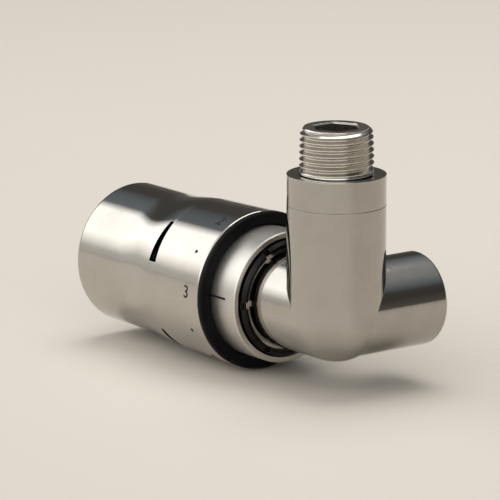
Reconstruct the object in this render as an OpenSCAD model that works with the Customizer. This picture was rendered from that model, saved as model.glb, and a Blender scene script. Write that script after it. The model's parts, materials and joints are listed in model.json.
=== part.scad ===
// Thermostatic radiator valve, corner pattern, with a chromed thermostatic head.
// Millimetres, +Z up. The origin is the centre of the radiator port's face, where the tailpiece's
// thread starts.
// The valve hangs below it: the head points along -X, the inlet along +Y to the wall, and the outlet up.
// Along the head's axis every place is a distance from the body centre, growing towards the end cap.

/* [Valve body] */
// Radius of the upright leg, of the barrel under the head and of the round corner
leg_r = 14; // [13.9:0.05:14.2]
// Radius of the inlet leg
inlet_leg_r = 13.4; // [13.2:0.1:13.8]
// Length of the inlet leg from the body centre
inlet_len = 30; // [29:0.5:34]
// Height of the radiator port's face above the body centre
riser_h = 40; // [39.9:0.1:42]
// Length of the barrel from the body centre to the head's thread
barrel_len = 22; // [21.5:0.1:22.2]

/* [Connections] */
// Radius of the tailpiece's half-inch pipe thread
tail_thread_r = 10.48; // [10.4:0.01:10.5]
// Length of the tailpiece's thread
tail_thread_len = 13; // [11:0.5:15]
// Radius of the inlet's half-inch pipe thread
inlet_thread_r = 10.48; // [10.4:0.01:10.5]
// Depth of the inlet's thread
inlet_thread_len = 14; // [12:0.5:14.5]
// Outer radius of the thread that the head screws to
head_thread_r = 14.9; // [14.8:0.05:14.95]

/* [Head] */
// Distance from the body centre to the handwheel's open rim
rim_at = 34.5; // [34.2:0.1:34.8]
// Distance from the body centre to the head's end
head_end = 97; // [96:0.1:99]
// Radius of the handwheel at its open rim, below the scale
skirt_r = 23; // [22.9:0.1:24]
// Radius of the handwheel where it starts to narrow to the grip
waist_r = 22.3; // [22.2:0.1:22.8]
// Radius of the handwheel's grip
grip_r = 20.8; // [20.8:0.1:21.8]
// Distance from the body centre to where the handwheel starts to narrow
flare_from = 57; // [56:0.5:58]
// Distance from the body centre to where the grip is reached
flare_to = 76; // [75:0.5:80]
// Outer radius of the index ring
index_ring_r = 19; // [18.9:0.05:19.1]
// Direction of the index mark round the head's axis, from straight up towards the wall, in degrees
index_angle = 274; // [0:1:359]

/* [Setting] */
// Travel of the valve disc from closed to fully open
disc_travel = 2.75; // [2.5:0.05:2.8]
// Angle between one number of the scale and the next, in degrees
scale_step = 60; // [50:1:60]
// Number of tapered slots round the skirt
slot_count = 4; // [3:1:6]

/* [Hidden] */
$fn = 96;
cut = 0.01;             // how far a cutter runs past a face
touch = 0.02;           // clearance between two faces that press on each other
fit = 0.05;             // clearance on radius between a part and the hole that it sits in
last_number = 5;
rest_number = 3;        // the number at the index mark

// Valve seat and waterways
seat_at = -1;           // the seat's face, just past the centre on the far side from the head
seat_r = 5.5;
seat_depth = 8.2;
chamber_r = 9;
chamber_end = 12;
insert_bore_r = 9.2;
neck_end = 33;          // the end face of the head's thread
neck_chamfer = 0.8;
outlet_bore_r = 9.5;
outlet_floor = 10;      // the outlet bore's floor, above the valve chamber
outlet_port = [6, 4.6]; // [distance towards the head, radius]
inlet_port = [5.6, 3.6]; // [distance away from the head, radius]
inlet_round = 1.2;

// Union to the radiator
leg_top = 31;           // where the plain leg ends and the union nut starts
union_thread_r = 12.4;
union_neck_top = 37;
union_play = 0.1;       // on radius, over the thread
union_seam = 0.15;      // gap between the leg and the nut
union_top_gap = 0.3;    // between the nut and the radiator port's face
union_lip_play = 0.2;   // on radius, round the tailpiece's thread
tail_flange = [37.05, 38.15];
tail_flange_r = 12.1;
tail_neck_r = 9.9;
tail_spigot_r = 9.3;
tail_spigot_from = 31.5;
tail_bore_r = 5.8;
hex_key_r = 6.93;       // across corners, for a 12 mm key
hex_key_depth = 12;
tail_seal = [8.4, 0.95, 34.2]; // [mean radius, section radius, place]
tail_groove = [7.4, 2.2]; // [floor radius, width]

// Valve insert and stem: opening at rest follows the number at the index
opening = disc_travel * rest_number / last_number;
insert_nose = [9, 15];  // the insert's plain nose, from and to
insert_nose_r = 7.6;
insert_thread_r = 9.1;
insert_hex_r = 9.8;
insert_hex_h = 3.4;
insert_seal = [8.2, 0.9, 30.9]; // [mean radius, section radius, place]
insert_groove = [7.3, 2.2]; // [floor radius, width]
spring_room = [17, 29.5];
spring_room_r = 5;
gland_r = 5.5;
gland_from = 31;
gland_hex_r = 5.77;
gland_hex_h = 2.8;
gland_hex_gap = 0.1;    // under the hexagon
gland_seal = [2.45, 0.9, 33.45]; // [mean radius, section radius, place]
gland_groove = [0.5, 3.35, 1.9]; // [inner radius, outer radius, width]
return_coil = [3.3, 0.45, 7]; // [mean radius, wire radius, turns]
stem_r = 2;
stem_bore_r = 2.1;
stem_collar_at = 25.35 + opening;
stem_collar_h = 1.4;
stem_collar_r = 4.4;
pin_r = 1.5;
pin_bore_r = 1.55;
closing_height = 11.8;  // from the neck's end to the pin's tip when the valve is closed
disc_r = 7;
disc_h = 2.4;
holder_r = 7.8;
holder_h = 3.2;
holder_lip = 0.75;      // how far the rubber stands out of its holder

// Head
tip_at = neck_end + closing_height + opening;   // where the stem pin meets the push pin
nut_from = 20.8;
nut_r = 16.9;
nut_shoulder = [35.8, 37.8];
nut_thread_r = 15;
nut_chamfer = 0.8;
nut_notches = 6;
nut_notch = [4, 2, 1.4]; // [depth, width, length] of a spanner notch
index_ring_from = 22.5;
index_ring_wall = 1.6;
index_ring_chamfer = 0.3;
index_web = [38.8, 40.3];
base_barrel_r = 13;
base_flange_r = 14.6;
base_rib = [42.7, 44.2];
base_rib_r = 17.8;
base_floor = [48, 50];
cage_end = 86;
cage_r = 16.2;
cage_wall = 1.7;
cage_windows = 4;
cage_window_angle = 50;
cage_window = [53.5, 83];
stop_lug = [44.2, 46.8];
lug_root = 0.5;         // how far a lug runs into the part that carries it
stop_lug_r = 17.5;
base_lug_angle = 28;
liner_lug_angle = 31;
lug_play = 0.5;         // between the stop lugs, in degrees
lug_side_play = 0.3;    // between the liner's lug and the cage's rib
skirt_in = 20.9;         // inside radius of the handwheel under the scale
sleeve_wall = 1.5;
sleeve_taper = [flare_from + 4, flare_to - 1]; // where the inside narrows
end_lip_r = 18.6;
end_lip_h = 2.5;
end_round_r = 1.5;
rim_round_r = 0.5;
wedge_at = 58.5;
wedge_widths = [3.3, 1.6]; // axial width at the wide end and at the narrow end
wedge_angle = 36;
wedge_offset = 31;      // from the index mark to the middle of the nearest slot
wedge_depths = [1, 4, 6]; // where its width is measured, where it starts and how far it cuts
liner_slot_width = 4.62; // the liner's slots are a little wider and longer than the sleeve's
liner_slot_angle = 39;
liner_gap = 0.1;        // between the liner and the sleeve that it is pressed into
liner_rim_at = 33.1;    // the black ring that shows past the handwheel's rim
liner_rim_r = 22.9;
liner_rim_chamfer = 0.4;
liner_collar_r = 19.4;
liner_bore_r = 17.9;
liner_step = [41, 42.4];
liner_rib_r = 16.6;
liner_end = [86.5, 88.5];
cap_from = 88.6;
cap_r = 18.45;
cap_dome = 0.6;
cap_wall = 1.6;
index_line = [6, 0.7, 0.3]; // length, width and depth of the index mark
index_line_hidden = 2;  // more of its length, hidden by the black ring

// Sensor
capsule_gap = 5.55;     // from the stem pin's tip to the capsule
capsule_from = tip_at + capsule_gap;
capsule_len = 18;
capsule_r = 12.6;
capsule_wall = 0.8;
bellows_r = [6.5, 9.5];
bellows_folds = 6;
bellows_len = 12;
bellows_wall = 0.8;     // measured across the axis
bellows_top = 0.8;
push_pin_r = 3;
push_pin_play = 0.1;    // on radius, in the cage's floor
overload_room = 6;      // between the capsule and the setting nut
overload_coil = [8.5, 0.5, 4]; // [mean radius, wire radius, turns]
setting_nut_h = 3.4;
setting_nut_r = 14.1;
setting_nut_bore_r = 4;
setting_lug_r = 17.7;
setting_lug_angle = 44;
setting_lug_root = 0.2;

// Where the head's axis runs: local +Z becomes -X and local +X stays up.
module along_head() {
    rotate([0, -90, 0]) children();
}

// Where the inlet runs: local +Z becomes +Y.
module along_inlet() {
    rotate([-90, 0, 0]) children();
}

// Puts what is modelled about the body centre into the part's frame.
module place() {
    translate([0, 0, -riser_h]) children();
}

module rod(r, from, to) {
    translate([0, 0, from]) cylinder(r = r, h = to - from);
}

module ring(r_in, r_out, from, to) {
    rotate_extrude() translate([r_in, from]) square([r_out - r_in, to - from]);
}

// An O-ring from [mean radius, section radius, place].
module oring(seal) {
    translate([0, 0, seal[2]]) rotate_extrude() translate([seal[0], 0]) circle(r = seal[1], $fn = 32);
}

// The cutter of an O-ring's groove in a round wall.
module oring_groove(floor_r, wall_r, middle, width) {
    ring(floor_r, wall_r + 1, middle - width / 2, middle + width / 2);
}

module hexagon(r, from, to) {
    translate([0, 0, from]) cylinder(r = r, h = to - from, $fn = 6);
}

// A sector of a ring, centred on the direction given.
module sector(r_in, r_out, from, to, middle, angle) {
    rotate([0, 0, middle - angle / 2])
        rotate_extrude(angle = angle) translate([r_in, from]) square([r_out - r_in, to - from]);
}

// Points of an arc, from one angle to another.
function arc(centre, r, from, to, steps = 8) =
    [for (i = [0:steps]) let (t = from + (to - from) * i / steps) centre + r * [cos(t), sin(t)]];

// A compression spring with a closed turn at each end.
spring_sides = 8;
spring_steps = 20;      // rings of points in each turn
closed_pitch = 2.1;     // rise of a closed turn, in wire radii
function spring_height(turn, turns, wire_r, from, to) =
    let (closed = wire_r * closed_pitch, low = from + wire_r, high = to - wire_r)
    turn < 1 ? low + closed * turn
    : turn > turns - 1 ? high - closed * (turns - turn)
    : low + closed + (high - low - 2 * closed) * (turn - 1) / (turns - 2);

module compression_spring(coil, from, to) {
    mean_r = coil[0];
    wire_r = coil[1];
    turns = coil[2];
    rings = turns * spring_steps;
    points = [for (i = [0:rings])
        let (turn = i / spring_steps, z = spring_height(turn, turns, wire_r, from, to))
        for (j = [0:spring_sides - 1]) let (b = 360 * j / spring_sides, r = mean_r + wire_r * cos(b))
            [r * cos(360 * turn), r * sin(360 * turn), z + wire_r * sin(b)]];
    sides = [for (i = [0:rings - 1], j = [0:spring_sides - 1])
        let (k = (j + 1) % spring_sides, n = spring_sides)
        [i * n + j, i * n + k, (i + 1) * n + k, (i + 1) * n + j]];
    first_end = [[for (j = [spring_sides - 1:-1:0]) j]];
    last_end = [[for (j = [0:spring_sides - 1]) rings * spring_sides + j]];
    polyhedron(points = points, faces = concat(sides, first_end, last_end), convexity = 10);
}

// ---- Valve body and the union to the radiator ----

module body_outside() {
    sphere(r = leg_r);
    rod(leg_r, 0, leg_top);
    rod(union_thread_r, leg_top - cut, union_neck_top);
    along_head() {
        rod(leg_r, 0, barrel_len);
        rotate_extrude() polygon([[0, barrel_len - cut], [head_thread_r, barrel_len - cut],
            [head_thread_r, neck_end - neck_chamfer], [head_thread_r - neck_chamfer, neck_end],
            [0, neck_end]]);
    }
    along_inlet() rotate_extrude() polygon(concat(
        [[0, 0], [inlet_leg_r, 0]],
        arc([inlet_leg_r - inlet_round, inlet_len - inlet_round], inlet_round, 0, 90),
        [[0, inlet_len]]));
}

module body_waterways() {
    along_head() {
        rod(seat_r, seat_at - seat_depth, seat_at + cut);
        rod(chamber_r, seat_at, chamber_end + cut);
        rod(insert_bore_r, chamber_end, neck_end + cut);
    }
    rod(outlet_bore_r, outlet_floor, union_neck_top + cut);
    translate([-outlet_port[0], 0, 0]) rod(outlet_port[1], 0, outlet_floor + cut);
    along_inlet() {
        rod(inlet_thread_r, inlet_len - inlet_thread_len, inlet_len + cut);
        translate([inlet_port[0], 0, 0]) rod(inlet_port[1], 0, inlet_len - inlet_thread_len + cut);
    }
}

module valve_body() {
    color("silver") place() difference() {
        body_outside();
        body_waterways();
    }
}

module radiator_union_nut() {
    color("silver") place() difference() {
        rod(leg_r, leg_top + union_seam, riser_h - union_top_gap);
        rod(union_thread_r + union_play, leg_top, tail_flange[1] + fit);
        rod(tail_thread_r + union_lip_play, leg_top, riser_h);
    }
}

module tailpiece() {
    color("gainsboro") place() difference() {
        union() {
            rod(tail_spigot_r, tail_spigot_from, tail_flange[0] + cut);
            rod(tail_flange_r, tail_flange[0], tail_flange[1]);
            rod(tail_neck_r, tail_flange[1] - cut, riser_h + cut);
            rod(tail_thread_r, riser_h, riser_h + tail_thread_len);
        }
        oring_groove(tail_groove[0], tail_spigot_r, tail_seal[2], tail_groove[1]);
        rod(tail_bore_r, tail_spigot_from - cut, riser_h + tail_thread_len + cut);
        hexagon(hex_key_r, riser_h + tail_thread_len - hex_key_depth, riser_h + tail_thread_len + cut);
    }
}

module tailpiece_oring() {
    color("black") place() oring(tail_seal);
}

// ---- Valve insert and stem ----

module valve_insert() {
    color("goldenrod") place() along_head() difference() {
        union() {
            rod(insert_nose_r, insert_nose[0], insert_nose[1] + cut);
            rod(insert_thread_r, insert_nose[1], neck_end + cut);
            hexagon(insert_hex_r, neck_end, neck_end + insert_hex_h);
        }
        oring_groove(insert_groove[0], insert_thread_r, insert_seal[2], insert_groove[1]);
        rod(stem_bore_r, insert_nose[0] - cut, spring_room[0] + cut);
        rod(spring_room_r, spring_room[0], gland_from + cut);
        rod(gland_r + fit, gland_from, neck_end + insert_hex_h + cut);
    }
}

module insert_oring() {
    color("black") place() along_head() oring(insert_seal);
}

module gland_nut() {
    hex_from = neck_end + insert_hex_h + gland_hex_gap;
    hex_to = hex_from + gland_hex_h;
    color("gold") place() along_head() difference() {
        union() {
            rod(gland_r, gland_from, hex_from + cut);
            hexagon(gland_hex_r, hex_from, hex_to);
        }
        rod(pin_bore_r, gland_from - cut, hex_to + cut);
        ring(gland_groove[0], gland_groove[1], gland_seal[2] - gland_groove[2] / 2,
            gland_seal[2] + gland_groove[2] / 2);
    }
}

module gland_oring() {
    color("black") place() along_head() oring(gland_seal);
}

module return_spring() {
    color("lightgray") place() along_head() compression_spring(return_coil, spring_room[0], stem_collar_at);
}

module valve_stem() {
    holder_top = seat_at + opening + holder_lip + holder_h;
    color("silver") place() along_head() {
        rod(stem_r, holder_top, stem_collar_at + cut);
        rod(stem_collar_r, stem_collar_at, stem_collar_at + stem_collar_h);
    }
}

module stem_pin() {
    color("silver") place() along_head() rod(pin_r, stem_collar_at + stem_collar_h, tip_at - touch);
}

module disc_holder() {
    disc_from = seat_at + opening;
    color("goldenrod") place() along_head() difference() {
        rod(holder_r, disc_from + holder_lip, disc_from + holder_lip + holder_h);
        rod(disc_r, disc_from, disc_from + disc_h);
    }
}

module seat_disc() {
    disc_from = seat_at + opening;
    color("dimgray") place() along_head() rod(disc_r, disc_from, disc_from + disc_h);
}

// ---- Head: the fixed parts ----

module head_base() {
    barrel_in = base_barrel_r - cage_wall;
    pin_hole = push_pin_r + push_pin_play;
    cage_in = cage_r - cage_wall;
    from = neck_end + fit;
    flange_end = nut_shoulder[0] - 2 * fit;
    color("dimgray") place() along_head() {
        difference() {
            rotate_extrude() polygon([[barrel_in, from], [base_flange_r, from], [base_flange_r, flange_end],
                [base_barrel_r, flange_end], [base_barrel_r, base_rib[0]], [base_rib_r, base_rib[0]],
                [base_rib_r, base_rib[1]], [cage_r, base_rib[1]], [cage_r, cage_end], [cage_in, cage_end],
                [cage_in, base_floor[1]], [pin_hole, base_floor[1]], [pin_hole, base_floor[0]],
                [barrel_in, base_floor[0]]]);
            for (i = [0:cage_windows - 1])
                sector(cage_in - 1, cage_r + 1, cage_window[0], cage_window[1], 360 * i / cage_windows,
                    cage_window_angle);
        }
        sector(cage_r - lug_root, stop_lug_r, base_rib[1] - lug_root, stop_lug[1], 0, base_lug_angle);
    }
}

module head_union_nut() {
    hole_r = base_barrel_r + 2 * fit;
    color("silver") place() along_head() difference() {
        rotate_extrude() polygon([[nut_thread_r, nut_from], [nut_r - nut_chamfer, nut_from],
            [nut_r, nut_from + nut_chamfer], [nut_r, nut_shoulder[1]], [hole_r, nut_shoulder[1]],
            [hole_r, nut_shoulder[0]], [nut_thread_r, nut_shoulder[0]]]);
        for (i = [0:nut_notches - 1])
            rotate([0, 0, 360 * (i + 0.5) / nut_notches])
                translate([nut_thread_r - 1, -nut_notch[1] / 2, nut_from - 1])
                    cube([nut_notch[0], nut_notch[1], nut_notch[2] + 1]);
    }
}

module index_ring() {
    inside = index_ring_r - index_ring_wall;
    hole_r = base_barrel_r + fit;
    mark_from = rim_at - index_line[0] - index_line_hidden;
    color("silver") place() along_head() difference() {
        rotate_extrude() polygon([[inside, index_ring_from],
            [index_ring_r - index_ring_chamfer, index_ring_from],
            [index_ring_r, index_ring_from + index_ring_chamfer], [index_ring_r, index_web[1]],
            [hole_r, index_web[1]], [hole_r, index_web[0]], [inside, index_web[0]]]);
        rotate([0, 0, index_angle]) translate([index_ring_r - index_line[2], -index_line[1] / 2, mark_from])
            cube([1, index_line[1], index_line[0] + index_line_hidden]);
    }
}

// ---- Head: the parts that turn with the handwheel ----

// The handwheel's outline between its waist and its grip is half a cosine wave.
flare_steps = 16;
function flare_radius(share) = (waist_r + grip_r) / 2 + (waist_r - grip_r) / 2 * cos(180 * share);
function flare_outline() = [for (i = [0:flare_steps])
    [flare_radius(i / flare_steps), flare_from + (flare_to - flare_from) * i / flare_steps]];

// One tapered slot, on the axis that runs to the head's side.
module wedge_cutter() {
    half = (waist_r - wedge_depths[0]) * sin(wedge_angle / 2);
    wide = wedge_widths[0] / 2;
    narrow = wedge_widths[1] / 2;
    rotate([90, 0, 90]) translate([0, 0, waist_r - wedge_depths[1]]) linear_extrude(wedge_depths[2])
        polygon([[-half, wedge_at - wide], [half, wedge_at - narrow],
            [half, wedge_at + narrow], [-half, wedge_at + wide]]);
}

module handwheel() {
    grip_in = grip_r - sleeve_wall;
    lip_from = head_end - end_lip_h;
    color("silver") place() along_head() difference() {
        rotate_extrude() polygon(concat(
            [[skirt_in, rim_at]],
            arc([skirt_r - rim_round_r, rim_at + rim_round_r], rim_round_r, -90, 0, 4),
            flare_outline(),
            arc([grip_r - end_round_r, head_end - end_round_r], end_round_r, 0, 90),
            [[end_lip_r, head_end], [end_lip_r, lip_from], [grip_in, lip_from],
            [grip_in, sleeve_taper[1]], [skirt_in, sleeve_taper[0]]]));
        for (i = [0:slot_count - 1])
            rotate([0, 0, index_angle + wedge_offset + 360 * i / slot_count]) wedge_cutter();
    }
}

module handwheel_liner() {
    skirt_out = skirt_in - liner_gap;
    grip_out = grip_r - sleeve_wall - liner_gap;
    rest_turn = scale_step * rest_number;
    lug_middle = base_lug_angle / 2 + lug_play + rest_turn + liner_lug_angle / 2;
    color("black") place() along_head() {
        difference() {
            rotate_extrude() polygon([
                [liner_collar_r, liner_rim_at], [liner_rim_r - liner_rim_chamfer, liner_rim_at],
                [liner_rim_r, liner_rim_at + liner_rim_chamfer], [liner_rim_r, rim_at - liner_gap],
                [skirt_out, rim_at - liner_gap], [skirt_out, sleeve_taper[0]], [grip_out, sleeve_taper[1]],
                [grip_out, liner_end[1]], [base_barrel_r, liner_end[1]], [base_barrel_r, liner_end[0]],
                [liner_bore_r, liner_end[0]], [liner_bore_r, liner_step[1]], [liner_rib_r, liner_step[1]],
                [liner_rib_r, liner_step[0]], [liner_collar_r, liner_step[0]]]);
            for (i = [0:slot_count - 1])
                sector(liner_bore_r - 1, skirt_r,
                    wedge_at - liner_slot_width / 2, wedge_at + liner_slot_width / 2,
                    index_angle + wedge_offset + 360 * i / slot_count, liner_slot_angle);
        }
        sector(liner_rib_r, liner_bore_r + lug_root,
            stop_lug[0] + lug_side_play, stop_lug[1] - lug_side_play, lug_middle, liner_lug_angle);
    }
}

module end_cap() {
    face = head_end - cap_dome;
    dome_r = (cap_r * cap_r + cap_dome * cap_dome) / (2 * cap_dome);
    edge_angle = asin(cap_r / dome_r);
    color("silver") place() along_head() rotate_extrude() polygon(concat(
        [[0, face - cap_wall], [cap_r - cap_wall, face - cap_wall],
            [cap_r - cap_wall, cap_from], [cap_r, cap_from]],
        arc([0, head_end - dome_r], dome_r, 90 - edge_angle, 90, 10)));
}

// ---- Head: the parts that slide along the axis ----

module setting_nut() {
    from = capsule_from + capsule_len + overload_room;
    color("white") place() along_head() {
        ring(setting_nut_bore_r, setting_nut_r, from, from + setting_nut_h);
        for (i = [0:cage_windows - 1])
            sector(setting_nut_r - setting_lug_root, setting_lug_r, from, from + setting_nut_h,
                360 * i / cage_windows, setting_lug_angle);
    }
}

module overload_spring() {
    from = capsule_from + capsule_len;
    color("lightgray") place() along_head() compression_spring(overload_coil, from, from + overload_room);
}

module sensor_capsule() {
    capsule_to = capsule_from + capsule_len;
    color("orange") place() along_head() difference() {
        rod(capsule_r, capsule_from, capsule_to);
        rod(capsule_r - capsule_wall, capsule_from + capsule_wall, capsule_to - capsule_wall);
        rod(push_pin_r + fit, capsule_from - cut, capsule_from + capsule_wall + cut);
    }
}

// A corrugated tube, closed at its far end, standing on the capsule's floor round the push pin.
module bellows() {
    from = capsule_from + capsule_wall;
    fold = bellows_len / bellows_folds;
    outer = [for (i = [0:2 * bellows_folds])
        [i % 2 == 0 ? bellows_r[0] : bellows_r[1], from + fold * i / 2]];
    inner = [for (i = [2 * bellows_folds:-1:0])
        [(i % 2 == 0 ? bellows_r[0] : bellows_r[1]) - bellows_wall, from + fold * i / 2]];
    top = from + bellows_len;
    color("gold") place() along_head() {
        rotate_extrude() polygon(concat(outer, inner));
        rod(bellows_r[0], top - cut, top + bellows_top);
    }
}

module push_pin() {
    top = capsule_from + capsule_wall + bellows_len;
    color("white") place() along_head() rod(push_pin_r, tip_at + touch, top - touch);
}

valve_body();
valve_insert();
insert_oring();
gland_nut();
gland_oring();
return_spring();
valve_stem();
stem_pin();
disc_holder();
seat_disc();
radiator_union_nut();
tailpiece();
tailpiece_oring();
head_base();
head_union_nut();
index_ring();
handwheel();
handwheel_liner();
end_cap();
setting_nut();
overload_spring();
sensor_capsule();
bellows();
push_pin();
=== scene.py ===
import json
import math
import bpy
import bmesh
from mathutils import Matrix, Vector


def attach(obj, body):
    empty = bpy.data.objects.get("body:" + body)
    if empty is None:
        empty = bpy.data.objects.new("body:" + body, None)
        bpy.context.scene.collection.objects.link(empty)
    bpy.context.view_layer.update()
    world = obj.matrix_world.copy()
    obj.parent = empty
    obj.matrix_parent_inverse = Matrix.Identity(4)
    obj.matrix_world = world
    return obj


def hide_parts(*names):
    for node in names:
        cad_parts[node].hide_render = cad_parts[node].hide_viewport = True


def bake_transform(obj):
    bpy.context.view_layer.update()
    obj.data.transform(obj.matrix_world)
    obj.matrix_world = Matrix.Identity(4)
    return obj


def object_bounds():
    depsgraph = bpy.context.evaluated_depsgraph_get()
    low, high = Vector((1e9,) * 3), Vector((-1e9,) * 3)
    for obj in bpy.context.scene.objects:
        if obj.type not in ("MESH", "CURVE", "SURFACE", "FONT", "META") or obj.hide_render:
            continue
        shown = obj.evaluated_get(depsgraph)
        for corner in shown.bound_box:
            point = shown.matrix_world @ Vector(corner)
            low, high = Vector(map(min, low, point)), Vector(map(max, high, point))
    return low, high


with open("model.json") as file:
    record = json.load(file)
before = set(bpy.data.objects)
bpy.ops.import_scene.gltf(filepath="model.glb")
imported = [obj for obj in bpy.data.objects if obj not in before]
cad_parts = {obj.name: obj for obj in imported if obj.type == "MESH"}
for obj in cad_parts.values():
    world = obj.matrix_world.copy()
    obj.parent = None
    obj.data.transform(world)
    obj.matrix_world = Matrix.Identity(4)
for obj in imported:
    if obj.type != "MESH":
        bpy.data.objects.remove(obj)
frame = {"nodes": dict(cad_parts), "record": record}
CAD_LOW, CAD_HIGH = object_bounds()
NODES = frame["nodes"]

# ---- Dimensions shared with the CAD ----
# In metres. Places along the head are distances from the body centre.
MM = 0.001
RISER = 40 * MM                 # radiator port's face above the body centre
SKIRT_R = 23 * MM               # handwheel at its open rim
WAIST_R = 22.3 * MM             # handwheel where its flare starts
RIM_AT = 34.5 * MM
RIM_ROUND = 0.5 * MM
FLARE_FROM = 57 * MM
INDEX_RING_R = 19 * MM
INDEX_GROOVE = 0.12 * MM        # depth of the groove that holds the index line
INDEX_ANGLE = 274.0             # degrees round the head, from straight up towards the wall
PIPE_PITCH = 1.814 * MM         # half-inch pipe thread
PIPE_DEPTH = 1.162 * MM
PIPE_R = 10.48 * MM
THREAD_LEN = 13 * MM            # tailpiece's thread
KEY_FLATS = 12 * MM             # hexagonal key socket in the tailpiece

# ---- Printed scale ----
SCALE_AT = 40.1 * MM            # where the numbers stand
SCALE_STEP = 60.0               # degrees from one number to the next
REST_NUMBER = 3                 # the number at the index at rest
LAST_NUMBER = 5
NUMBER_HEIGHT = 3.7 * MM
DOT_R = 0.55 * MM
LINE_WIDTH = 0.62 * MM
PAINT_PROUD = 0.03 * MM         # a mark's face above the metal
PAINT_SUNK = 0.05 * MM          # a mark's back below it

# ---- Fineness of the threads ----
ROWS = 16                       # rows of vertices in each thread pitch
AROUND = 144                    # columns round a thread


def on_head(angle, radius, along):
    """A point by direction round the head's axis, radius and distance from the body centre."""
    t = math.radians(angle)
    return Vector((-along, radius * math.sin(t), radius * math.cos(t) - RISER))


# ---- Materials ----

def new_material(name):
    """A material with one Principled shader: the material, its node tree and the shader."""
    material = bpy.data.materials.new(name)
    material.use_nodes = True
    tree = material.node_tree
    tree.nodes.clear()
    output = tree.nodes.new("ShaderNodeOutputMaterial")
    shader = tree.nodes.new("ShaderNodeBsdfPrincipled")
    tree.links.new(shader.outputs[0], output.inputs[0])
    return material, tree, shader


def mm_coordinates(tree, stretch=(1, 1, 1)):
    """Object coordinates in millimetres, times a factor for each axis: marks crowd where it is large."""
    coord = tree.nodes.new("ShaderNodeTexCoord")
    mapping = tree.nodes.new("ShaderNodeMapping")
    mapping.inputs["Scale"].default_value = [1000 * s for s in stretch]
    tree.links.new(coord.outputs["Object"], mapping.inputs["Vector"])
    return mapping.outputs[0]


def noise(tree, vector, scale, detail=4.0, rough=0.55):
    """Smooth random values about 0.5."""
    node = tree.nodes.new("ShaderNodeTexNoise")
    node.inputs["Scale"].default_value = scale
    node.inputs["Detail"].default_value = detail
    node.inputs["Roughness"].default_value = rough
    tree.links.new(vector, node.inputs["Vector"])
    return node.outputs["Fac"]


def ramp(tree, value, low, high, out_low, out_high):
    """Maps low..high of a value to out_low..out_high, held at both ends."""
    node = tree.nodes.new("ShaderNodeMapRange")
    node.inputs["From Min"].default_value = low
    node.inputs["From Max"].default_value = high
    node.inputs["To Min"].default_value = out_low
    node.inputs["To Max"].default_value = out_high
    tree.links.new(value, node.inputs["Value"])
    return node.outputs[0]


def add(tree, a, b, operation="ADD"):
    """The sum of a and b, held to 0..1, or another operation on them, unclamped. b is a socket or a float."""
    node = tree.nodes.new("ShaderNodeMath")
    node.operation = operation
    node.use_clamp = operation == "ADD"
    tree.links.new(a, node.inputs[0])
    if isinstance(b, float):
        node.inputs[1].default_value = b
    else:
        tree.links.new(b, node.inputs[1])
    return node.outputs[0]


def mix_colour(tree, factor, a, b):
    """Colour a at factor 0 and b at 1. Each is a socket or a tuple."""
    node = tree.nodes.new("ShaderNodeMix")
    node.data_type = "RGBA"
    tree.links.new(factor, node.inputs["Factor"])
    for socket, value in ((node.inputs[6], a), (node.inputs[7], b)):
        if isinstance(value, tuple):
            socket.default_value = (*value, 1)
        else:
            tree.links.new(value, socket)
    return node.outputs[2]


def rounded_normal(tree, width):
    """The surface's normal with every edge softened over the given width in millimetres."""
    rounded = tree.nodes.new("ShaderNodeBevel")
    rounded.samples = 4
    rounded.inputs["Radius"].default_value = width * MM
    return rounded.outputs[0]


def bump(tree, shader, layers, edge=0.14):
    """Chains bump layers, each (height socket, depth in millimetres, strength), over softened edges."""
    last = rounded_normal(tree, edge)
    for height, depth, strength in layers:
        layer = tree.nodes.new("ShaderNodeBump")
        layer.inputs["Strength"].default_value = strength
        layer.inputs["Distance"].default_value = depth * MM
        tree.links.new(height, layer.inputs["Height"])
        tree.links.new(last, layer.inputs["Normal"])
        last = layer.outputs[0]
    tree.links.new(last, shader.inputs["Normal"])


def edges(tree, width=0.25):
    """1 close to an edge, where plating or moulding is worn: there a rounded normal leaves the true one."""
    surface = tree.nodes.new("ShaderNodeNewGeometry")
    dot = tree.nodes.new("ShaderNodeVectorMath")
    dot.operation = "DOT_PRODUCT"
    tree.links.new(surface.outputs["Normal"], dot.inputs[0])
    tree.links.new(rounded_normal(tree, width), dot.inputs[1])
    return ramp(tree, dot.outputs["Value"], 0.985, 0.90, 0.0, 1.0)


def from_head_axis(tree):
    """Distance from the head's axis in millimetres, as a vector for noise."""
    coord = tree.nodes.new("ShaderNodeTexCoord")
    offset = tree.nodes.new("ShaderNodeVectorMath")
    offset.operation = "ADD"
    offset.inputs[1].default_value = (0, 0, RISER)
    tree.links.new(coord.outputs["Object"], offset.inputs[0])
    flat = tree.nodes.new("ShaderNodeVectorMath")
    flat.operation = "MULTIPLY"
    flat.inputs[1].default_value = (0, 1000, 1000)
    tree.links.new(offset.outputs[0], flat.inputs[0])
    length = tree.nodes.new("ShaderNodeVectorMath")
    length.operation = "LENGTH"
    tree.links.new(flat.outputs[0], length.inputs[0])
    out = tree.nodes.new("ShaderNodeCombineXYZ")
    tree.links.new(length.outputs["Value"], out.inputs[0])
    return out.outputs[0]


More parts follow.
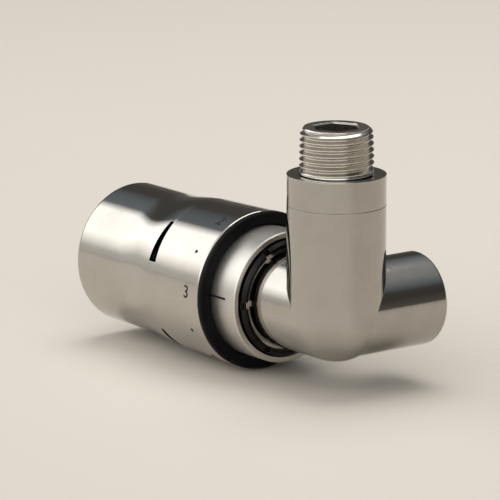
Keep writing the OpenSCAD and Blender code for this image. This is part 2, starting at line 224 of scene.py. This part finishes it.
def metal(name, colour, dark, rough, smudge, turned=None, scratch=0.15, wear=(0.9, 0.88, 0.85), faced=False):
    """Plated or bare metal between two colours: smudges in the roughness, hairline scratches, turned marks,
    worn edges. A faced end has circular marks about the head's axis."""
    material, tree, shader = new_material(name)
    place = mm_coordinates(tree)
    cloud = noise(tree, place, 0.09, 5.0, 0.6)              # smudges about a centimetre across
    finger_marks = noise(tree, place, 0.55, 3.0, 0.7)
    grain = noise(tree, place, 6.0, 2.0)
    hair = noise(tree, mm_coordinates(tree, (0.35, 5.0, 5.0)), 2.2, 3.0)
    tint = mix_colour(tree, ramp(tree, cloud, 0.35, 0.7, 0.0, 1.0), colour, dark)
    worn = add(tree, edges(tree), 0.6, "MULTIPLY")
    tree.links.new(mix_colour(tree, worn, tint, wear), shader.inputs["Base Color"])
    shader.inputs["Metallic"].default_value = 1.0
    handled = ramp(tree, cloud, 0.42, 0.68, 0.0, 1.0)
    smear = add(tree, handled, ramp(tree, finger_marks, 0.45, 0.75, 0.0, 1.0), "MULTIPLY")
    matt = ramp(tree, smear, 0.0, 1.0, rough, rough + smudge)
    tree.links.new(add(tree, matt, ramp(tree, hair, 0.6, 0.8, 0.0, 0.03)), shader.inputs["Roughness"])
    layers = [(cloud, 0.05, 0.04), (hair, 0.002, scratch), (grain, 0.001, 0.15)]
    if faced:
        layers.append((noise(tree, from_head_axis(tree), 2.4, 3.0), 0.0035, 0.35))
    if turned:
        layers.append((noise(tree, mm_coordinates(tree, turned), 2.0, 2.0), 0.003, 0.3))
    bump(tree, shader, layers)
    return material


def plastic(name, colour, light, rough, grain=0.02, scale=9.0, sheen=0.0, specular=0.5):
    """Moulded plastic: spark-eroded grain, handling shine and slightly paler edges."""
    material, tree, shader = new_material(name)
    place = mm_coordinates(tree)
    cloud = noise(tree, place, 0.12, 4.0)
    grainy = noise(tree, place, scale, 3.0, 0.65)
    flow = noise(tree, mm_coordinates(tree, (0.3, 1.0, 1.0)), 0.5, 3.0)
    base = mix_colour(tree, ramp(tree, cloud, 0.35, 0.7, 0.0, 1.0), colour, light)
    rubbed = tuple(min(1.0, c * 1.6 + 0.006) for c in light)
    worn = add(tree, edges(tree), 0.5, "MULTIPLY")
    tree.links.new(mix_colour(tree, worn, base, rubbed), shader.inputs["Base Color"])
    shader.inputs["Metallic"].default_value = 0.0
    shine = ramp(tree, flow, 0.3, 0.7, rough - 0.07, rough + 0.08)
    tree.links.new(add(tree, shine, ramp(tree, grainy, 0.5, 0.8, 0.0, 0.08)), shader.inputs["Roughness"])
    shader.inputs["Sheen Weight"].default_value = sheen
    shader.inputs["Specular IOR Level"].default_value = specular
    bump(tree, shader, [(grainy, grain, 0.5), (flow, 0.02, 0.15)])
    return material


TURNED = (6.0, 0.3, 0.3)        # close marks along the head's axis, drawn out round it
COARSE_TURNED = (5.0, 0.4, 0.4)
CHROME = ((0.46, 0.435, 0.395), (0.42, 0.397, 0.357))
CHROME_WEAR = (0.70, 0.67, 0.62)

# The valve body's chrome is a darker copy of the head's chrome: painted shade, for the shade and dark
# reflections that fall on the body below a radiator.
BODY_CHROME_SHADED = metal("body_chrome", (0.425, 0.402, 0.365), (0.385, 0.362, 0.328), 0.08, 0.12, wear=(0.68, 0.65, 0.60))
HEAD = metal("head_chrome", *CHROME, 0.075, 0.12, scratch=0.2, wear=CHROME_WEAR)
SATIN = metal("satin_chrome", (0.55, 0.525, 0.48), (0.51, 0.485, 0.44), 0.36, 0.08, TURNED, wear=CHROME_WEAR)
CAP = metal("faced_chrome", *CHROME, 0.10, 0.12, wear=CHROME_WEAR, faced=True)
# Near-black metal for the head's union nut: painted shade, for the dark recess between the index ring and the
# body's barrel.
SHADE_DARK_NICKEL = metal("dark_nickel", (0.020, 0.018, 0.018), (0.012, 0.011, 0.011), 0.30, 0.12, TURNED,
             wear=(0.06, 0.055, 0.05))
NICKEL = metal("nickel", (0.60, 0.57, 0.52), (0.50, 0.475, 0.43), 0.17, 0.12, wear=(0.72, 0.69, 0.64))
BRASS = metal("brass", (0.72, 0.52, 0.24), (0.60, 0.42, 0.18), 0.22, 0.2, TURNED, wear=(0.85, 0.66, 0.36))
STAINLESS = metal("stainless", (0.62, 0.62, 0.63), (0.55, 0.55, 0.56), 0.16, 0.15, TURNED)
SPRING = metal("spring_steel", (0.45, 0.45, 0.47), (0.33, 0.32, 0.33), 0.26, 0.15)
ALUMINIUM = metal("aluminium", (0.74, 0.74, 0.75), (0.66, 0.66, 0.67), 0.30, 0.15, COARSE_TURNED)
BRONZE = metal("bronze", (0.62, 0.40, 0.22), (0.50, 0.31, 0.16), 0.24, 0.15, wear=(0.8, 0.6, 0.38))
RUBBER = plastic("rubber", (0.022, 0.022, 0.023), (0.040, 0.039, 0.038), 0.72, 0.015, 7.0, 0.1)
BLACK = plastic("black_plastic", (0.002, 0.002, 0.0024), (0.004, 0.004, 0.0046), 0.46, specular=0.10)
GREY = plastic("dark_plastic", (0.010, 0.010, 0.011), (0.016, 0.016, 0.017), 0.55, specular=0.25)
WHITE = plastic("white_plastic", (0.76, 0.75, 0.71), (0.70, 0.68, 0.62), 0.42)
PAINT = plastic("black_paint", (0.008, 0.008, 0.009), (0.016, 0.016, 0.017), 0.5, 0.004, 12.0, specular=0.15)

FINISHES = {
    "body_chrome": BODY_CHROME_SHADED, "head_chrome": HEAD, "dark_nickel": SHADE_DARK_NICKEL, "nickel": NICKEL, "brass": BRASS,
    "stainless": STAINLESS, "spring_steel": SPRING, "rubber": RUBBER, "black_plastic": BLACK,
    "dark_plastic": GREY, "white_plastic": WHITE, "aluminium": ALUMINIUM, "bronze": BRONZE,
}
SLOT_OF = {s["node"]: s["material_slot"] for s in frame["record"]["subparts"]}
for node, o in NODES.items():
    o.data.materials.clear()
    o.data.materials.append(FINISHES[SLOT_OF[node]])
NODES["index_ring"].data.materials[0] = SATIN


# ---- Meshes ----

def piece(name, mesh, body, material):
    """A new object that rides on a body."""
    o = bpy.data.objects.new(name, mesh)
    bpy.context.scene.collection.objects.link(o)
    mesh.materials.append(material)
    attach(o, body)
    return o


def solid_mesh(name, verts, faces, sharp_from):
    """A mesh whose faces look outwards, shaded smooth except at edges sharper than sharp_from degrees."""
    mesh = bpy.data.meshes.new(name)
    mesh.from_pydata(verts, [], faces)
    bm = bmesh.new()
    bm.from_mesh(mesh)
    bmesh.ops.recalc_face_normals(bm, faces=bm.faces)
    bm.to_mesh(mesh)
    bm.free()
    mesh.shade_smooth()
    mesh.set_sharp_from_angle(angle=math.radians(sharp_from))
    return mesh


def ring_faces(rings, around):
    """The faces between rings of vertices, ring after ring, each with the same number round it."""
    faces = []
    for i in range(rings - 1):
        for j in range(around):
            k = (j + 1) % around
            faces.append((i * around + j, i * around + k, (i + 1) * around + k, (i + 1) * around + j))
    return faces


THREAD_SHARP_FROM = 28.0


def threaded_turn(name, radius, low, high, outline, to_world):
    """A closed turned solid with a screw thread between low and high. Rows of vertices follow the thread, so
    that its crest and root are smooth lines. radius(z, t) is the thread's; outline lists (radius function, z)
    for the rest of the section, from the thread's high end round to its low end. to_world places a point."""
    step = PIPE_PITCH / ROWS
    margin = 1.3                # rows kept clear of each end, which has a row of its own
    verts, columns = [], []
    for j in range(AROUND):
        t = 2 * math.pi * j / AROUND
        lead = ROWS * j / AROUND
        first = math.floor(low / step - lead + margin)
        last = math.ceil(high / step - lead - margin)
        rows = [(None, low)] + [(g, (g + lead) * step) for g in range(first, last + 1)] + [(None, high)]
        column = {"rows": [], "rest": []}
        for g, z in rows:
            column["rows"].append((g, len(verts)))
            r = radius(z, t)
            verts.append(to_world(r * math.cos(t), r * math.sin(t), z))
        for function, z in outline:
            column["rest"].append(len(verts))
            r = function(t)
            verts.append(to_world(r * math.cos(t), r * math.sin(t), z))
        columns.append(column)
    faces = []
    for j in range(AROUND):
        here, there = columns[j], columns[(j + 1) % AROUND]
        shift = ROWS if j == AROUND - 1 else 0
        left = {g: v for g, v in here["rows"] if g is not None}
        right = {g - shift: v for g, v in there["rows"] if g is not None}
        common = sorted(set(left) & set(right))
        low_edge = [here["rows"][0][1], there["rows"][0][1]]
        rising = [right[g] for g in sorted(right) if g <= common[0]]
        falling = [left[g] for g in sorted(left, reverse=True) if g <= common[0]]
        faces.append((*low_edge, *rising, *falling))
        for g, h in zip(common, common[1:]):
            faces.append((left[g], right[g], right[h], left[h]))
        high_edge = [there["rows"][-1][1], here["rows"][-1][1]]
        rising = [right[g] for g in sorted(right) if g >= common[-1]]
        falling = [left[g] for g in sorted(left, reverse=True) if g > common[-1]]
        faces.append((left[common[-1]], *rising, *high_edge, *falling))
        a = [here["rows"][-1][1], *here["rest"], here["rows"][0][1]]
        b = [there["rows"][-1][1], *there["rest"], there["rows"][0][1]]
        for i in range(len(a) - 1):
            faces.append((a[i], b[i], b[i + 1], a[i + 1]))
    return solid_mesh(name, verts, faces, THREAD_SHARP_FROM)


def constant(r):
    """The radius function of a circle."""
    return lambda t: r


def hexagon(across_flats):
    """The radius function of a hexagon."""
    return lambda t: across_flats / 2 / math.cos((t + math.pi / 6) % (math.pi / 3) - math.pi / 6)


def thread_wave(z, t):
    """0 at the root and 1 at the crest of a V thread with small flats, right-hand."""
    flat = 0.12                 # share of a flank's height that the root's and the crest's flats each take
    phase = (z / PIPE_PITCH - t / (2 * math.pi)) % 1.0
    v = 1 - abs(2 * phase - 1)
    return min(1.0, max(0.0, (v - flat) / (1 - 2 * flat)))


def tailpiece_mesh():
    """The union's tailpiece: thread, key socket, bore, flange, and a spigot with its seal's groove."""
    top = THREAD_LEN
    full_until = 5 * MM         # the taper of the pipe thread starts here, 1 in 16 on diameter
    lead_in = 1.2 * MM          # the thread fades in and out over this length
    key, bore = hexagon(KEY_FLATS), constant(5.8 * MM)
    key_mouth = hexagon(KEY_FLATS + 0.6 * MM)
    key_bottom, bore_from = 1 * MM, 0.2 * MM
    # Below the thread, in millimetres from the radiator port's face.
    spigot_r, groove_r, flange_r, neck_r = 9.3, 7.4, 12.1, 9.9
    end, groove_from, groove_to, flange_from, flange_to = -8.5, -6.9, -4.7, -2.95, -1.85
    spigot_cut, flange_cut = 0.4, 0.2

    def radius(z, t):
        crest = PIPE_R - max(0.0, z - full_until) / 32
        fade = min(1.0, max(0.0, z / lead_in))
        limit = crest - max(0.0, lead_in - (top - z)) * 0.8
        return min(limit, crest - PIPE_DEPTH * fade * (1 - thread_wave(z, t)))

    inside = [(key_mouth, top), (key, top - 0.4 * MM), (key, key_bottom), (bore, bore_from), (bore, end * MM)]
    spigot = [(spigot_r - spigot_cut, end), (spigot_r, end + spigot_cut), (spigot_r, groove_from)]
    groove = [(groove_r, groove_from), (groove_r, groove_to), (spigot_r, groove_to), (spigot_r, flange_from)]
    flange = [(flange_r - flange_cut, flange_from), (flange_r, flange_from + flange_cut),
              (flange_r, flange_to - flange_cut), (flange_r - flange_cut, flange_to)]
    outside = [*spigot, *groove, *flange, (neck_r, flange_to), (neck_r, 0.0)]
    outline = inside + [(constant(r * MM), z * MM) for r, z in outside]
    return threaded_turn("tailpiece_threaded", radius, 0.0, top, outline, lambda x, y, z: (x, y, z))


def inlet_thread_mesh():
    """The half-inch thread inside the inlet leg, as a sleeve whose back lies against the bore's wall."""
    low, high = 16.1 * MM, 29.6 * MM
    lead_in = 1.1 * MM
    root_clear = 0.08 * MM      # the thread's root stays this far off the bore's wall
    back = constant(PIPE_R - 0.02 * MM)

    def radius(z, t):
        lead = max(0.0, lead_in - (high - z))
        depth = min(PIPE_DEPTH * thread_wave(z, t), max(0.0, PIPE_DEPTH - lead * 0.95))
        return PIPE_R - root_clear - depth

    return threaded_turn("inlet_thread", radius, low, high, [(back, high), (back, low)],
                         lambda x, y, z: (x, z, -y - RISER))


def end_cap_mesh(around=128):
    """The pressed cap that closes the head: a shallow dome with a rolled rim and a short skirt."""
    # In millimetres, along the head from the body centre.
    skirt_from, face, dome = 88.6, 96.4, 0.6
    radius, wall, roll, break_edge = 18.45, 1.6, 0.35, 0.15
    roll_steps, dome_steps = 4, 24
    dome_r = (radius ** 2 + dome ** 2) / (2 * dome)
    centre_at = face + dome - dome_r
    inner_r = radius - wall
    section = [(inner_r, face - wall), (inner_r, skirt_from + break_edge), (inner_r + break_edge, skirt_from),
               (radius - break_edge, skirt_from), (radius, skirt_from + break_edge), (radius, face - roll)]
    for i in range(1, roll_steps + 1):
        t = math.radians(90 * i / roll_steps)
        section.append((radius - roll + roll * math.cos(t), face - roll + roll * math.sin(t)))
    for i in range(1, dome_steps):
        r = (radius - roll) * (1 - i / dome_steps)
        section.append((r, centre_at + math.sqrt(dome_r ** 2 - r ** 2)))
    verts = []
    for r, z in section:
        for j in range(around):
            t = 2 * math.pi * j / around
            verts.append((-z * MM, r * math.sin(t) * MM, r * math.cos(t) * MM - RISER))
    outer, inner = len(verts), len(verts) + 1
    verts += [(-(face + dome) * MM, 0, -RISER), (-(face - wall) * MM, 0, -RISER)]
    faces = ring_faces(len(section), around)
    last = (len(section) - 1) * around
    for j in range(around):
        k = (j + 1) % around
        faces.append((last + j, last + k, outer))
        faces.append((k, j, inner))
    return solid_mesh("end_cap_faced", verts, faces, 40)


def coil_mesh(name, mean_r, wire_r, turns, low, high, sides=14, steps=48):
    """A compression spring about the head's axis, with a closed turn at each end."""
    last = turns * steps
    closed = 2 * wire_r * 1.02  # pitch of the closed turns, just clear of wire on wire
    open_rise = high - low - 2 * wire_r - 2 * closed
    verts = []
    for i in range(last + 1):
        turn = i / steps
        if turn < 1:
            z = low + wire_r + closed * turn
        elif turn > turns - 1:
            z = high - wire_r - closed * (turns - turn)
        else:
            z = low + wire_r + closed + open_rise * (turn - 1) / (turns - 2)
        t = 2 * math.pi * turn
        for j in range(sides):
            b = 2 * math.pi * j / sides
            r = mean_r + wire_r * math.cos(b)
            verts.append((-(z + wire_r * math.sin(b)), r * math.sin(t), r * math.cos(t) - RISER))
    faces = ring_faces(last + 1, sides)
    faces.append(tuple(range(sides - 1, -1, -1)))
    faces.append(tuple(last * sides + j for j in range(sides)))
    return solid_mesh(name, verts, faces, 50)


# ---- Replaced and added pieces ----

tail = piece("tailpiece_threaded", tailpiece_mesh(), "valve", NICKEL)
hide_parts("tailpiece")
piece("inlet_thread", inlet_thread_mesh(), "valve", BRASS)

cap = piece("end_cap_faced", end_cap_mesh(), "handwheel", CAP)
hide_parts("end_cap")

overload_mesh = coil_mesh("overload_spring_coil", mean_r=8.5 * MM, wire_r=0.5 * MM, turns=4, low=70 * MM,
                          high=76 * MM)
overload = piece("overload_spring_coil", overload_mesh, "sensor", SPRING)
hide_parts("overload_spring")

# The return spring's far end stands in the insert and its near end pushes the stem's collar.
SPRING_FROM, SPRING_TO = 17 * MM, 27 * MM
return_mesh = coil_mesh("return_spring_coil", mean_r=3.3 * MM, wire_r=0.45 * MM, turns=7, low=SPRING_FROM,
                        high=SPRING_TO)
return_mesh.materials.append(SPRING)
return_coil = bpy.data.objects.new("return_spring_coil", return_mesh)
bpy.context.scene.collection.objects.link(return_coil)
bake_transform(return_coil)
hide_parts("return_spring")


def skirt_radius(along):
    """Radius of the handwheel's outside under the scale."""
    share = (along - RIM_AT - RIM_ROUND) / (FLARE_FROM - RIM_AT - RIM_ROUND)
    return SKIRT_R + (WAIST_R - SKIRT_R) * min(1.0, max(0.0, share))


def wrapped(flat, angle, radius_at, along, strip=0.45 * MM):
    """Wraps a flat mesh round the head's axis as a thin closed solid, cut into strips to follow the curve.
    The flat mesh's y points up the circumference and its x points along the head towards the body."""
    bm = bmesh.new()
    bm.from_mesh(flat)
    bmesh.ops.remove_doubles(bm, verts=bm.verts, dist=0.002 * MM)
    ys = [v.co.y for v in bm.verts]
    bottom, height = min(ys), max(ys) - min(ys)
    cuts = int(height / strip)
    for i in range(1, cuts + 1):
        cut_at = Vector((0, bottom + height * i / (cuts + 1), 0))
        bmesh.ops.bisect_plane(bm, geom=[*bm.verts, *bm.edges, *bm.faces], dist=1e-8, plane_co=cut_at,
                               plane_no=Vector((0, 1, 0)))
    bmesh.ops.remove_doubles(bm, verts=bm.verts, dist=0.006 * MM)
    bmesh.ops.dissolve_degenerate(bm, edges=bm.edges, dist=0.003 * MM)
    bmesh.ops.triangulate(bm, faces=bm.faces)
    bmesh.ops.recalc_face_normals(bm, faces=bm.faces)
    lower = list(bm.verts)
    made = bmesh.ops.extrude_face_region(bm, geom=bm.faces[:])
    upper = {v for v in made["geom"] if isinstance(v, bmesh.types.BMVert)}
    for v in [*lower, *upper]:
        at = along - v.co.x
        r = radius_at(at)
        turn = angle + math.degrees(v.co.y / r)
        v.co = on_head(turn, r + (PAINT_PROUD if v in upper else -PAINT_SUNK), at)
    bmesh.ops.recalc_face_normals(bm, faces=bm.faces)
    bm.to_mesh(flat)
    bm.free()
    return flat


def glyph(text, height):
    """A flat mesh of a character, centred on its own box, of the given height."""
    curve = bpy.data.curves.new("glyph", "FONT")
    curve.body = text
    curve.size = 1.0
    curve.fill_mode = "FRONT"
    curve.offset = 0.01         # a little bolder than the plain font
    curve.resolution_u = 8
    temp = bpy.data.objects.new("glyph", curve)
    bpy.context.scene.collection.objects.link(temp)
    bpy.context.view_layer.update()
    mesh = bpy.data.meshes.new_from_object(temp)
    bpy.data.objects.remove(temp)
    xs = [v.co.x for v in mesh.vertices]
    ys = [v.co.y for v in mesh.vertices]
    k = height / (max(ys) - min(ys))
    cx, cy = (max(xs) + min(xs)) / 2, (max(ys) + min(ys)) / 2
    for v in mesh.vertices:
        v.co = ((v.co.x - cx) * k, (v.co.y - cy) * k, 0)
    return mesh


def disc(radius, count=28):
    """A flat round mesh."""
    mesh = bpy.data.meshes.new("dot")
    turns = [2 * math.pi * i / count for i in range(count)]
    ring = [(radius * math.cos(t), radius * math.sin(t), 0) for t in turns]
    mesh.from_pydata(ring, [], [tuple(range(count))])
    return mesh


def bar(length, width):
    """A flat rectangular mesh."""
    mesh = bpy.data.meshes.new("bar")
    x, y = length / 2, width / 2
    mesh.from_pydata([(-x, -y, 0), (x, -y, 0), (x, y, 0), (-x, y, 0)], [], [(0, 1, 2, 3)])
    return mesh


def mark(name, flat, number, along=SCALE_AT, radius_at=skirt_radius, body="handwheel"):
    """A painted mark at a number's place round the head."""
    angle = INDEX_ANGLE + SCALE_STEP * (REST_NUMBER - number)
    mesh = wrapped(flat, angle, radius_at, along)
    mesh.name = name
    return piece(name, mesh, body, PAINT)


for number in range(LAST_NUMBER + 1):
    mark(f"scale_number_{number}", glyph(str(number), NUMBER_HEIGHT), number)
    if number < LAST_NUMBER:
        mark(f"scale_half_{number}", disc(DOT_R), number + 0.5)

# The index line is paint in the index ring's groove.
LINE_FROM, LINE_TO = 26.55 * MM, 34 * MM
mark("index_line", bar(LINE_TO - LINE_FROM, LINE_WIDTH), REST_NUMBER, (LINE_FROM + LINE_TO) / 2,
     lambda at: INDEX_RING_R - INDEX_GROOVE, "valve")

# ---- Stage ----

def stage_material(name, colour, rough):
    """A matt material with a trace of unevenness in its colour."""
    material, tree, shader = new_material(name)
    cloud = noise(tree, mm_coordinates(tree), 0.01, 3.0)
    darker = tuple(c * 0.985 for c in colour)
    tree.links.new(mix_colour(tree, cloud, colour, darker), shader.inputs["Base Color"])
    shader.inputs["Roughness"].default_value = rough
    return material


FLOOR_AT = CAD_LOW.z - 0.5 * MM
FLOOR_HALF = 3.0
CORNERS = ((-1, -1), (1, -1), (1, 1), (-1, 1))
floor_mesh = bpy.data.meshes.new("floor")
floor_mesh.from_pydata([(x * FLOOR_HALF, y * FLOOR_HALF, FLOOR_AT) for x, y in CORNERS], [], [(0, 1, 2, 3)])
floor = bpy.data.objects.new("floor", floor_mesh)
bpy.context.scene.collection.objects.link(floor)
floor_mesh.materials.append(stage_material("floor", (0.57, 0.525, 0.465), 0.6))

# A wide, dim light overhead, so that the plated edges keep soft highlights.
KEY_AT, KEY_AIM = Vector((-0.17, 0.22, 0.93)), Vector((-0.03, 0.0, -0.04))
key_data = bpy.data.lights.new("key", "AREA")
key_data.shape = "DISK"
key_data.size = 0.9
key_data.energy = 6.4
key_data.color = (1.0, 0.98, 0.95)
key_light = bpy.data.objects.new("key", key_data)
key_light.location = KEY_AT
key_light.rotation_mode = "QUATERNION"
key_light.rotation_quaternion = (KEY_AT - KEY_AIM).to_track_quat("Z", "Y")
bpy.context.scene.collection.objects.link(key_light)

# The room is bright on the side away from the wall, most of all above the horizon. The wall's side is dim,
# with one cool streak high up.
world = bpy.data.worlds.new("studio")
bpy.context.scene.world = world
world.use_nodes = True
tree = world.node_tree
tree.nodes.clear()
output = tree.nodes.new("ShaderNodeOutputWorld")
backdrop = tree.nodes.new("ShaderNodeBackground")
tree.links.new(backdrop.outputs[0], output.inputs[0])
direction = tree.nodes.new("ShaderNodeTexCoord")
parts = tree.nodes.new("ShaderNodeSeparateXYZ")
tree.links.new(direction.outputs["Generated"], parts.inputs[0])


def sky(stops):
    """A colour for each height above the horizon, from (sine of the height, brightness, warmth) stops. A
    warmth below 0 is cool."""
    node = tree.nodes.new("ShaderNodeValToRGB")
    tree.links.new(parts.outputs["Z"], node.inputs[0])
    points = node.color_ramp.elements
    while len(points) > 1:
        points.remove(points[0])
    for i, (at, bright, warm) in enumerate(stops):
        point = points[0] if i == 0 else points.new(at)
        point.position = at
        point.color = (bright, bright * (1 - warm), bright * (1 - 2 * warm), 1)
    return node.outputs[0]


room_side = sky([(0.0, 0.30, 0.03), (0.10, 0.35, 0.02), (0.22, 0.70, 0.01), (0.34, 1.0, 0.0),
                 (0.62, 0.88, -0.01), (0.8, 0.33, 0.0)])
wall_side = sky([(0.0, 0.058, 0.06), (0.3, 0.032, 0.06), (0.46, 0.036, 0.04), (0.60, 0.085, -0.16),
                 (0.9, 0.24, 0.0)])
side = ramp(tree, parts.outputs["Y"], -0.12, 0.02, 0.0, 1.0)
tree.links.new(mix_colour(tree, side, room_side, wall_side), backdrop.inputs["Color"])
backdrop.inputs["Strength"].default_value = 2.5

# ---- Camera ----

AZIMUTH, ELEVATION = math.radians(52.7), math.radians(12.8)
DISTANCE = 1.36
CENTRE = Vector((-0.0385, -0.001, -0.029))
level = math.cos(ELEVATION)
back = Vector((math.sin(AZIMUTH) * level, -math.cos(AZIMUTH) * level, math.sin(ELEVATION)))

cam = bpy.data.cameras.new("camera")
cam.lens = 342.0
cam.sensor_width = 36.0
cam.clip_start, cam.clip_end = 0.05, 20.0
camera = bpy.data.objects.new("camera", cam)
camera.location = CENTRE + back * DISTANCE
camera.rotation_mode = "QUATERNION"
camera.rotation_quaternion = back.to_track_quat("Z", "Y")
bpy.context.scene.collection.objects.link(camera)
bpy.context.scene.camera = camera
bpy.context.scene.view_settings.view_transform = "Standard"
